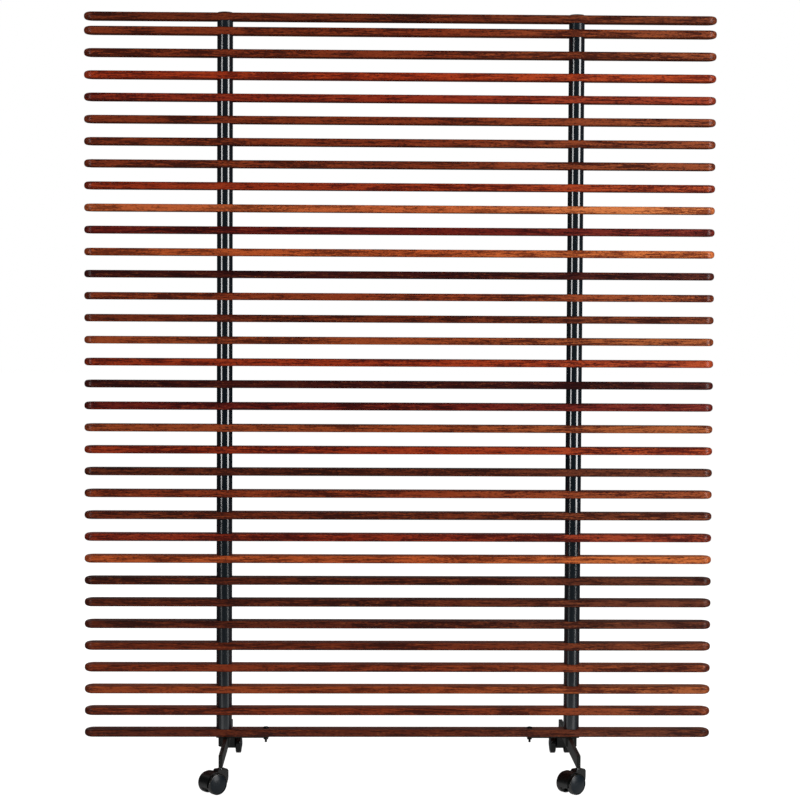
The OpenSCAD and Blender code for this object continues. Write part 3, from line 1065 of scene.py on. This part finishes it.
@dataclass
class Foot:
    """A welded foot: a flat bar on edge, a hub for the rod and a plate under the bottom slat."""

    hand: Hand
    post_x: float = 423.5 * MM
    bar_inset: float = 4.5 * MM
    bar_length: float = 457 * MM
    bar_height: float = 30 * MM
    bar_t: float = 9 * MM
    bar_low: float = 58 * MM
    bar_corner_r: float = 1.5 * MM
    ease: float = 0.8 * MM
    hub_d: float = 28 * MM
    hub_height: float = 23 * MM
    plate_t: float = 3 * MM
    plate_w: float = 34 * MM
    reach_out: float = 19 * MM
    reach_in: float = 109.1 * MM
    plate_corner_r: float = 6 * MM
    plate_ease: float = 0.5 * MM
    bead_r: float = 1.8 * MM
    bead_reach: float = 15.98 * MM
    bead_span: float = 84.0
    ripple: float = 0.35 * MM
    seed: int = 7

    def build(self) -> None:
        """Makes the foot as one piece, and its weld beads."""
        side, name = self.hand.value, f"{self.hand.name.lower()}_foot"
        mesh = bmesh.new()
        bar_x = side * (self.post_x - self.bar_inset)
        top = self.bar_low + self.bar_height
        across = Matrix.Rotation(QUARTER, 4, "Y") @ Matrix.Rotation(QUARTER, 4, "Z")
        seat = Matrix.Translation((bar_x, 0.0, self.bar_low + self.bar_height / 2)) @ across
        bar = round_outline(self.bar_length, self.bar_height, self.bar_corner_r)
        prism(mesh, bar, self.bar_t, self.ease, seat, 3)
        r, h = self.hub_d / 2, self.hub_height
        hub = [(0.0, 0.0), (r - self.ease, 0.0), (r, self.ease), (r, h), (0.0, h)]
        lathe(mesh, hub, Matrix.Translation((side * self.post_x, 0.0, top - h)), segments=64)
        middle = side * (self.post_x - (self.reach_in - self.reach_out) / 2)
        seat = Matrix.Translation((middle, 0.0, top + self.plate_t / 2))
        plate = round_outline(self.reach_in + self.reach_out, self.plate_w, self.plate_corner_r)
        prism(mesh, plate, self.plate_t, self.plate_ease, seat, 2)
        settle(name + "_welded", mesh, FOOT_BLACK, name, crease_deg=35.0)
        self.beads(side, top, bar_x)

    def beads(self, side: int, top: float, bar_x: float) -> None:
        """Lays the weld beads under the plate, along the bar and round the hub.

        Args:
            side: -1 on the left and 1 on the right.
            top: The height of the plate's underside.
            bar_x: The bar's middle.
        """
        inner_x, hub_x, r = bar_x - side * self.bar_t / 2, side * self.post_x, self.hub_d / 2
        clear = math.sqrt(r**2 - (hub_x - inner_x) ** 2)
        stops = [clear + (self.bead_reach - clear) * i / 4 for i in range(5)]
        runs = [[Vector((inner_x, way * y, top)) for y in stops] for way in (-1, 1)]
        for way, span in ((side, self.bead_span), (-side, math.degrees(math.asin(clear / r)))):
            around = arc(r, -span, span, 24)
            runs.append([Vector((hub_x + way * x, y, top)) for x, y in around])
        points = [point for run in runs for point in run]
        starts = {sum(map(len, runs[:n])) for n in range(len(runs))}
        edges = [(i - 1, i) for i in range(len(points)) if i not in starts]
        path = points_mesh("bead_path", points, edges)
        hand = self.hand.name.lower()
        inputs = {"Bead Radius": self.bead_r, "Ripple": self.ripple, "Seed": self.seed}
        rule = Rule(f"weld_bead_{hand}", self.bead_rule, inputs)
        place(rule.run(f"{hand}_weld_beads", path, FOOT_BLACK), FOOT_BLACK, "panel", [])

    @staticmethod
    def bead_rule(graph: Graph, start: Made) -> Value:
        """Sweeps a bead along the joint, uneven as a hand-laid weld is.

        Args:
            graph: The tree's graph.
            start: Its Group Input.

        Returns:
            The beads.
        """
        path = graph.add("GeometryNodeMeshToCurve", {}, {"Mesh": start["Geometry"]})
        fine = graph.add("GeometryNodeResampleCurve", {}, {"Curve": path[0], "Count": 48})
        section = graph.add(
            "GeometryNodeCurvePrimitiveCircle", {"mode": "RADIUS"},
            {"Resolution": 12, "Radius": start["Bead Radius"]},
        )
        bead = graph.add(
            "GeometryNodeCurveToMesh", {},
            {"Curve": fine[0], "Profile Curve": section[0], "Fill Caps": True},
        )
        wobble = graph.add(
            "FunctionNodeRandomValue", {"data_type": "FLOAT"},
            {"Min_001": -1.0, "Max_001": 1.0, "Seed": start["Seed"]},
        )["Value_001"]
        push = graph.add(
            "ShaderNodeVectorMath", {"operation": "SCALE"},
            {0: graph.add("GeometryNodeInputNormal")[0], "Scale": wobble * start["Ripple"]},
        )
        offset = {"Geometry": bead[0], "Offset": push[0]}
        moved = graph.add("GeometryNodeSetPosition", {}, offset)
        smooth = {"Geometry": moved[0], "Shade Smooth": True}
        return graph.add("GeometryNodeSetShadeSmooth", {"domain": "FACE"}, smooth)[0]


# --- plate bolts


@dataclass
class PlateBolts:
    """A hexagon bolt, two washers and a nut at the inner end of each plate."""

    bolt_x: float = 321.9 * MM
    bolt_r: float = 3 * MM
    flats: float = 10 * MM
    head_h: float = 2.5 * MM
    washer_r: float = 7 * MM
    washer_t: float = 1.2 * MM
    ease: float = 0.15 * MM
    chamfer_drop: float = 0.14
    chamfer_share: float = 0.92
    thread_pitch: float = 1 * MM
    thread_depth: float = 0.5 * MM
    thread_facets: int = 32
    thread_rows: int = 8
    point: float = 0.9 * MM
    facets: int = 96

    def hexagon(self, mesh: BMesh, x: float, low: float, height: float, both: bool) -> None:
        """Adds a chamfered hexagon standing at a height.

        Args:
            mesh: The bmesh that it goes into.
            x: Its axis.
            low: Its underside.
            height: Its height.
            both: Whether the underside is chamfered too.
        """
        inner, sixth = self.flats / 2, math.pi / 3
        outer = inner / math.cos(sixth / 2)
        turns = (2 * math.pi * i / self.facets for i in range(self.facets))
        flat = [inner / math.cos(a % sixth - sixth / 2) for a in turns]
        share, drop = self.chamfer_share, height * self.chamfer_drop
        levels = [(0.0, share), (drop, 1.0), (height - drop, 1.0), (height, share)]
        if not both:
            levels[:2] = [(0.0, 1.0)]
        seat = Matrix.Translation((x, 0.0, low))
        skin(mesh, [hoop(mesh, [min(r, outer * s) for r in flat], z, seat) for z, s in levels])

    def thread(self, mesh: BMesh, x: float, low: float, high: float) -> None:
        """Adds a bolt end with a real helical thread.

        Args:
            mesh: The bmesh that it goes into.
            x: Its axis.
            low: The bolt's end.
            high: Where the thread meets the nut.
        """
        around, seat, rows = self.thread_facets, Matrix.Translation((x, 0.0, low)), []
        steps = int((high - low) / self.thread_pitch * self.thread_rows)
        for k in range(steps + 1):
            up = (high - low) * k / steps
            phases = ((up / self.thread_pitch - i / around) % 1.0 for i in range(around))
            radii = [self.bolt_r - self.thread_depth * abs(2 * phase - 1) for phase in phases]
            tip = self.bolt_r - self.point + up
            rows.append(hoop(mesh, [min(r, tip) for r in radii], up, seat))
        skin(mesh, rows)

    def build(self) -> None:
        """Makes the bolts, the washers and the nuts."""
        bolts, washers, nuts = bmesh.new(), bmesh.new(), bmesh.new()
        low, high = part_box("plate_bolts")
        washer_low, washer_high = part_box("plate_washers")
        nut_low, nut_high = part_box("plate_nuts")
        bore, t = self.bolt_r, self.washer_t
        ring = [(bore, 0.0), *eased(self.washer_r, 0.0, t, self.ease), (bore, t), (bore, 0.0)]
        for side in (-1, 1):
            x = side * self.bolt_x
            self.hexagon(bolts, x, high.z - self.head_h, self.head_h, False)
            self.thread(bolts, x, low.z, nut_low.z + self.thread_depth)
            self.hexagon(nuts, x, nut_low.z, nut_high.z - nut_low.z, True)
            for z in (washer_low.z, washer_high.z - t):
                lathe(washers, ring, Matrix.Translation((x, 0.0, z)), segments=48)
        for name, mesh, node in (
            ("hex_bolts", bolts, "plate_bolts"),
            ("washers", washers, "plate_washers"),
            ("hex_nuts", nuts, "plate_nuts"),
        ):
            settle(name, mesh, HARDWARE_BLACK, node, crease_deg=25.0)


# --- casters


class Corner(Enum):
    """The four casters: side, end and how far each has turned at rest, in degrees."""

    FRONT_LEFT = (-1, -1, -52.0)
    FRONT_RIGHT = (1, -1, -52.0)
    REAR_LEFT = (-1, 1, 178.0)
    REAR_RIGHT = (1, 1, 182.0)


@dataclass
class Caster:
    """A twin-wheel caster: plated stem, moulded body, axle and two capped wheels."""

    corner: Corner
    bar_x: float = 419 * MM
    stem_y: float = 216 * MM
    wheel_r: float = 25 * MM
    tread_w: float = 13 * MM
    tread_ease: float = 2.25 * MM
    shoulder: float = 88.0
    dome_h: float = 3 * MM
    dome_margin: float = 3 * MM
    cap_inset: float = 1 * MM
    cap_step: float = 0.1 * MM
    groove: float = 0.75 * MM
    rim_wall: float = 3 * MM
    wheel_web: float = 3 * MM
    hub_r: float = 7 * MM
    bore_r: float = 3.05 * MM
    bore_depth: float = 11 * MM
    trail: float = 23 * MM
    body_w: float = 21 * MM
    web_w: float = 20 * MM
    web_wall: float = 3 * MM
    web_r: float = 26.55 * MM
    web_ease: float = 1.2 * MM
    pocket_low: float = 1 * MM
    hood_w: float = 33 * MM
    hood_r: float = 27.3 * MM
    hood_wall: float = 1.5 * MM
    hood_ease: float = 0.45 * MM
    hood_front: float = 60.0
    hood_back: float = 17.0
    lip_start: float = 15.0
    drum_r: float = 13 * MM
    wheel_gap: float = 1 * MM
    boss_x: float = 11.2 * MM
    boss_ease: float = 0.5 * MM
    body_top: float = 55.5 * MM
    block_l: float = 30 * MM
    block_h: float = 16 * MM
    block_step: float = 2 * MM
    block_ease: float = 3.6 * MM
    edge_r: float = 4 * MM
    skirt_r: float = 45 * MM
    skirt_low: float = 20 * MM
    swivel_gap: float = 0.5 * MM
    collar_r: float = 4.3 * MM
    collar_t: float = 2 * MM
    pintle_r: float = 4 * MM
    thread_r: float = 2.5 * MM
    stem_ease: float = 0.4 * MM

    @property
    def spot(self) -> str:
        """Where the caster stands, as the CAD names say it."""
        return self.corner.name.lower()

    @property
    def stem_frame(self) -> Matrix:
        """Where the stem stands."""
        side, end, _ = self.corner.value
        return Matrix.Translation((side * self.bar_x, end * self.stem_y, 0.0))

    @property
    def seat(self) -> Matrix:
        """Where the caster's own frame goes; its wheels trail to -Y there."""
        return self.stem_frame @ Matrix.Rotation(math.radians(self.corner.value[2]), 4, "Z")

    @property
    def axle_frame(self) -> Matrix:
        """Where the axle's frame goes, with its Z along the axle."""
        out = Matrix.Translation((0.0, -self.trail, self.wheel_r))
        return self.seat @ out @ Matrix.Rotation(QUARTER, 4, "Y")

    @property
    def side_view(self) -> Matrix:
        """Turns an outline drawn in the caster's Y and Z so that it is extruded along the axle."""
        return self.seat @ Matrix(((0, 0, 1, 0), (1, 0, 0, 0), (0, 1, 0, 0), (0, 0, 0, 1)))

    def block_outline(self) -> list[Point2]:
        """Draws the block round the stem and the skirt below it, from the side.

        Returns:
            The outline, in the caster's own frame.
        """
        front, back, top, e = self.block_l / 2, -self.block_l / 2, self.body_top, self.edge_r
        knee = top - self.block_h
        fall = -math.degrees(math.asin((knee - self.skirt_low) / self.skirt_r))
        return [
            *arc(e, 180, 90, 6, (back + e, top - e)),
            *arc(e, 90, 0, 6, (front - e, top - e)),
            *arc(self.skirt_r, 0.0, fall, 14, (front - self.skirt_r, knee)),
            (-self.trail, self.skirt_low),
            (-self.trail, knee),
            (back, knee + self.block_step),
        ][::-1]

    def about_axle(self, outline: Iterable[Point2]) -> list[Point2]:
        """Moves an outline from the axle's centre to the caster's own frame."""
        return [(y - self.trail, z + self.wheel_r) for y, z in outline]

    def web_outline(self) -> list[Point2]:
        """Draws the web, its straight back and the drum, from the side.

        Returns:
            The outline, in the caster's own frame.
        """
        back = (self.trail - self.block_l / 2, self.body_top - self.edge_r - self.wheel_r)
        lean = math.acos(min(1.0, self.web_r / math.hypot(*back)))
        tangent = math.degrees(math.atan2(back[1], back[0]) + lean)
        return self.about_axle([
            *arc(self.web_r, tangent, 180.0, 28),
            *arc(self.drum_r, 180.0, 360.0, 36),
            (self.web_r, 0.0),
            back,
        ])

    def pocket_outline(self) -> list[Point2]:
        """Draws the pocket under the web, behind the drum, from the side.

        Returns:
            The outline, in the caster's own frame.
        """
        r, front = self.web_r - self.web_wall, self.web_wall - self.drum_r
        roof, drum = (math.degrees(math.acos(front / radius)) for radius in (r, self.drum_r))
        return self.about_axle([
            *arc(r, 180.0, roof, 16),
            *arc(self.drum_r, drum, 180.0, 10),
            (-self.drum_r, -self.pocket_low),
            (-r, -self.pocket_low),
        ])

    def hood_outline(self) -> list[Point2]:
        """Draws the hood over the treads, its two ends rounded, from the side.

        Returns:
            The outline, in the caster's own frame.
        """
        lip, inner = self.hood_wall / 2, self.hood_r - self.hood_wall
        middle = self.hood_r - lip
        ease = math.degrees(lip / middle)
        start, stop = self.hood_front + ease, 180.0 + self.hood_back - ease
        ends = []
        for angle, first in ((stop, stop + ease), (start, start - ease + 180)):
            centre = arc(middle, angle, angle, 1)[0]
            ends.append(arc(lip, first + self.lip_start, first + 180 - self.lip_start, 6, centre))
        outside = arc(self.hood_r, start, stop, 48)
        inside = arc(inner, stop, start, 48)
        return self.about_axle([*outside, *ends[0], *inside, *ends[1]])

    def body(self) -> None:
        """Moulds the body: block and skirt, hollow web and drum, the hood, and the bosses."""
        solids: dict[str, bpy.types.Object] = {}
        for name, outline, width, rim, steps in (
            ("block", self.block_outline(), self.body_w, self.block_ease, 6),
            ("web", self.web_outline(), self.web_w, self.web_ease, 3),
            ("pocket", self.pocket_outline(), self.web_w - 2 * self.web_wall, 0.0, 1),
            ("hood", self.hood_outline(), self.hood_w, self.hood_ease, 3),
        ):
            mesh = bmesh.new()
            prism(mesh, outline, width, rim, self.side_view, steps)
            solids[name] = add_object(name, finish_mesh(name, mesh, crease_deg=40.0))
        cut = solids["web"].modifiers.new("pocket", "BOOLEAN")
        cut.object, cut.operation, cut.solver = solids["pocket"], "DIFFERENCE", "EXACT"
        depsgraph = bpy.context.evaluated_depsgraph_get()
        hollowed = bpy.data.meshes.new_from_object(
            solids["web"].evaluated_get(depsgraph), depsgraph=depsgraph
        )
        whole = bmesh.new()
        for mesh in (solids["block"].data, hollowed, solids["hood"].data):
            whole.from_mesh(mesh)
        x = self.boss_x
        boss = [(0.0, -x), *eased(self.hub_r, -x, x, self.boss_ease), (0.0, x)]
        lathe(whole, boss, self.axle_frame, segments=48)
        for helper in solids.values():
            bpy.data.objects.remove(helper)
        node = self.spot + "_caster_body"
        made = finish_mesh(node + "_moulded", whole, crease_deg=38.0, outward=False)
        place(add_object(made.name, made), BODY_PLASTIC, self.spot + "_swivel", [node])

    def wheel_profile(self) -> list[Point2]:
        """Draws half of a wheel's section.

        Returns:
            The points from the cap's pole over the tread and the web to the bore's end.
        """
        r, w, ease = self.wheel_r, self.tread_w, self.tread_ease
        base, inner = w - self.cap_inset, r - self.rim_wall
        dome_r, rise = r - self.dome_margin, self.cap_inset + self.dome_h
        ball = (dome_r**2 + rise**2) / (2 * rise)
        spread = math.degrees(math.asin(dome_r / ball))
        return [
            *arc(ball, 90.0, 90.0 - spread, 20, (0.0, base + rise - ball)),
            (dome_r + self.groove, base),
            (dome_r + self.groove, w - self.cap_step),
            *arc(ease, self.shoulder, 0, 8, (r - ease, w - ease)),
            *arc(ease, 0, -90, 8, (r - ease, ease)),
            (inner, 0.0),
            (inner, base - self.wheel_web),
            (self.hub_r, base - self.wheel_web),
            (self.hub_r, 0.0),
            (self.bore_r, 0.0),
            (self.bore_r, self.bore_depth),
            (0.0, self.bore_depth),
        ]

    def wheel(self, hand: Hand) -> None:
        """Turns one wheel: a smooth cap inside a scuffed tread.

        Args:
            hand: Which end of the axle it runs on.
        """
        mesh = bmesh.new()
        turn = self.axle_frame
        if hand is Hand.LEFT:
            turn = turn @ Matrix.Rotation(math.pi, 4, "X")
        turn = turn @ Matrix.Translation((0.0, 0.0, self.body_w / 2 + self.wheel_gap))
        lathe(mesh, self.wheel_profile(), turn, segments=112)
        name = f"{self.spot}_caster_{hand.name.lower()}_wheel"
        made = finish_mesh(name + "_turned", mesh, crease_deg=30.0)
        for finish in (CAP_PLASTIC, TREAD_PLASTIC):
            made.materials.append(finish.material())
        back = turn.inverted()
        rim, floor = self.wheel_r - self.dome_margin, self.tread_w - self.cap_inset - self.cap_step
        for face in made.polygons:
            centre = back @ face.center
            face.material_index = int(centre.xy.length > rim or centre.z < floor)
        body = f"{self.spot}_{hand.name.lower()}_wheel"
        place(add_object(made.name, made), CAP_PLASTIC, body, [name])

    def stem(self, mesh: BMesh) -> None:
        """Adds this caster's stem to the mesh of all the stems.

        Args:
            mesh: The bmesh that holds the stems.
        """
        low, high = (corner.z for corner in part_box("caster_stems"))
        collar, ease, r = self.body_top + self.swivel_gap, self.stem_ease, self.pintle_r
        top = collar + self.collar_t
        profile = [
            (0.0, low), (r - ease, low), (r, low + ease), (r, collar),
            *eased(self.collar_r, collar, top, ease),
            (self.thread_r, top), (self.thread_r, high), (0.0, high),
        ]
        lathe(mesh, profile, self.stem_frame, segments=48)

    def build(self) -> None:
        """Makes the caster's own pieces."""
        self.body()
        self.wheel(Hand.LEFT)
        self.wheel(Hand.RIGHT)
        dress(self.spot + "_caster_axle", STEM_STEEL)


# --- studio


@dataclass
class Softbox:
    """A soft light, aimed at the screen; a fill is one that no gloss mirrors."""

    name: str
    place: tuple[float, float, float]
    width: float
    height: float
    power: float
    mirrored: bool = False
    aim: tuple[float, float, float] = (0.0, 0.0, 1.0)

    def build(self) -> None:
        """Hangs the light."""
        light = bpy.data.lights.new(self.name, "AREA")
        light.shape = "RECTANGLE"
        light.size, light.size_y, light.energy = self.width, self.height, self.power
        made = add_object(self.name, light)
        made.visible_camera, made.visible_glossy = False, self.mirrored
        made.location = self.place
        toward = Vector(self.aim) - Vector(self.place)
        made.rotation_euler = toward.to_track_quat("-Z", "Y").to_euler()


HIGH_AIM = (0.0, 0.0, 1.4)


@dataclass
class Studio:
    """White floor and surroundings, soft lights, and the camera at the photograph's angle."""

    camera_place: tuple[float, float, float] = (-0.1163, -5.3277, 1.1445)
    yaw_deg: float = 1.263
    pitch_deg: float = 2.510
    roll_deg: float = 0.282
    focal_px: float = 2199.3
    frame_px: float = 800.0
    sensor_mm: float = 36.0
    room_level: float = 0.07
    room_dim: float = 0.7
    floor_share: float = 0.22
    floor_half: float = 30.0
    floor_gloss: Ramp = Ramp(1.6, -1.0, 0.12)
    floor_dim: float = 0.93
    streak_share: float = 0.55
    streak_taper: float = 12.0
    streak_start: Ramp = Ramp(0.0, 2.0)
    backdrop: tuple[Ramp, Ramp] = (Ramp(0.3, 4.0), Ramp(0.45, 5.0))
    floor_paint: tuple[Colour, Colour] = ((0.86, 0.86, 0.86), (0.88, 0.88, 0.88))
    lights: tuple[Softbox, ...] = (
        Softbox("softbox_left", (-3.55, -3.35, 1.3), 0.95, 2.0, 34.0, mirrored=True),
        Softbox("softbox_right", (2.65, -2.1, 1.3), 1.25, 2.0, 42.0, mirrored=True),
        Softbox("fill_left", (-3.56, -3.36, 1.3), 0.95, 2.0, 71.0),
        Softbox("fill_right", (2.66, -2.11, 1.3), 1.25, 2.0, 88.0),
        Softbox("high_left", (-2.9, 0.45, 2.15), 0.5, 0.8, 14.0, aim=HIGH_AIM),
        Softbox("high_right", (2.9, 0.1, 2.15), 0.5, 0.8, 14.0, aim=HIGH_AIM),
        Softbox("rear_left", (-2.7, 3.3, 1.2), 1.4, 1.6, 75.0),
        Softbox("rear_right", (2.9, 3.0, 1.2), 1.4, 1.6, 75.0),
    )

    def camera(self) -> None:
        """Sets the camera up."""
        lens = bpy.data.cameras.new("camera")
        lens.sensor_fit, lens.sensor_width = "HORIZONTAL", self.sensor_mm
        lens.lens = self.focal_px / self.frame_px * self.sensor_mm
        made = add_object("camera", lens)
        turn = Matrix.Translation(self.camera_place)
        for degrees, axis in (
            (-self.yaw_deg, "Z"), (90 - self.pitch_deg, "X"), (self.roll_deg, "Z"),
        ):
            turn = turn @ Matrix.Rotation(math.radians(degrees), 4, axis)
        made.matrix_world = turn
        bpy.context.scene.camera = made

    def world(self) -> None:
        """White where the camera looks; a backdrop behind the screen shows in its gloss too."""
        made = bpy.data.worlds.new("studio_world")
        bpy.context.scene.world = made
        made.use_nodes = True
        graph = Graph(made.node_tree)
        ray = graph.add("ShaderNodeLightPath")
        generated = graph.add("ShaderNodeTexCoord")["Generated"]
        toward = graph.add("ShaderNodeSeparateXYZ", {}, {0: generated})
        glossy = ray["Is Glossy Ray"]
        backdrop = toward["Y"].through(self.backdrop[0]) * toward["Z"].through(self.backdrop[1])
        seen = (ray["Is Camera Ray"] + ray["Is Transmission Ray"] + glossy * backdrop).clamped()
        room = self.room_level * (1.0 - glossy * self.room_dim)
        inputs = {"Color": WHITE, "Strength": room + seen * (1.0 - room)}
        sky = graph.add("ShaderNodeBackground", {}, inputs)
        graph.add("ShaderNodeOutputWorld", {}, {"Surface": sky[0]})

    def streak(self, spread: Made, light: Softbox) -> Value:
        """The strip of floor from the middle out to a light, where its glow is mirrored.

        Args:
            spread: The floor's place, split into X, Y and Z.
            light: The light that the strip runs to.

        Returns:
            1 along the strip's middle, 0 beyond its edges.
        """
        x, y, _ = Vector((*light.place[:2], 0.0)).normalized()
        off = spread["X"] * y - spread["Y"] * x
        ahead = spread["X"] * x + spread["Y"] * y
        return (1.0 - off * off * self.streak_taper).clamped() * ahead.through(self.streak_start)

    def floor(self) -> None:
        """A wide white floor that keeps a trace of the object's shadow."""
        mesh = bmesh.new()
        bmesh.ops.create_grid(mesh, x_segments=8, y_segments=8, size=self.floor_half)
        made = add_object("floor", finish_mesh("floor", mesh, crease_deg=35.0))
        material = bpy.data.materials.new("white_floor")
        material.use_nodes = True
        graph = Graph(material.node_tree)
        ray = graph.add("ShaderNodeLightPath")
        where, glossy = graph.where(), ray["Is Glossy Ray"]
        cloud = graph.noise(where, Pattern((0.7, 0.7, 0.7)))
        paint = graph.blend_colours(cloud, *self.floor_paint)
        spread = graph.add("ShaderNodeSeparateXYZ", {}, {0: where})
        # Painted shade and painted glow: in reflections and bounced light the floor is dimmed
        # nearly to black. The strips towards the two mirrored softboxes are dimmed less, a painted
        # glow that the gloss mirrors.
        streaks = self.streak(spread, self.lights[0]) + self.streak(spread, self.lights[1])
        outside = 1.0 - streaks * self.streak_share
        bounced = (glossy * outside + ray["Is Diffuse Ray"]).clamped()
        colour = graph.blend_colours(bounced * self.floor_dim, paint, (0.0, 0.0, 0.0))
        matt = graph.add("ShaderNodeBsdfDiffuse", {}, {"Color": colour})
        glow = {"Color": WHITE, "Strength": 1.0 / (1.0 - self.floor_share)}
        white = graph.add("ShaderNodeEmission", {}, glow)
        reach = graph.add("ShaderNodeVectorMath", {"operation": "LENGTH"}, {0: where})["Value"]
        near = glossy * reach.through(self.floor_gloss)
        seen = (ray["Is Camera Ray"] + ray["Is Transmission Ray"] + near).clamped()
        share = seen * (1.0 - self.floor_share)
        both = graph.add("ShaderNodeMixShader", {}, {0: share, 1: matt[0], 2: white[0]})
        graph.add("ShaderNodeOutputMaterial", {}, {"Surface": both[0]})
        made.data.materials.append(material)

    def build(self) -> None:
        """Sets the whole studio up."""
        self.camera()
        self.world()
        self.floor()
        for light in self.lights:
            light.build()
        bpy.context.scene.view_settings.view_transform = "Standard"


# --- assembly


def main() -> None:
    """Builds the sub-assemblies in order."""
    logging.basicConfig(level=logging.INFO, format="%(name)s: %(message)s")
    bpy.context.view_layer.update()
    for assembly in (Studio(), SlatRack(), Posts(), *map(Foot, Hand), PlateBolts()):
        assembly.build()
    stems = bmesh.new()
    for caster in map(Caster, Corner):
        caster.build()
        caster.stem(stems)
    settle("stems_turned", stems, STEM_STEEL, "caster_stems", crease_deg=30.0)


if __name__ == "__main__":
    main()
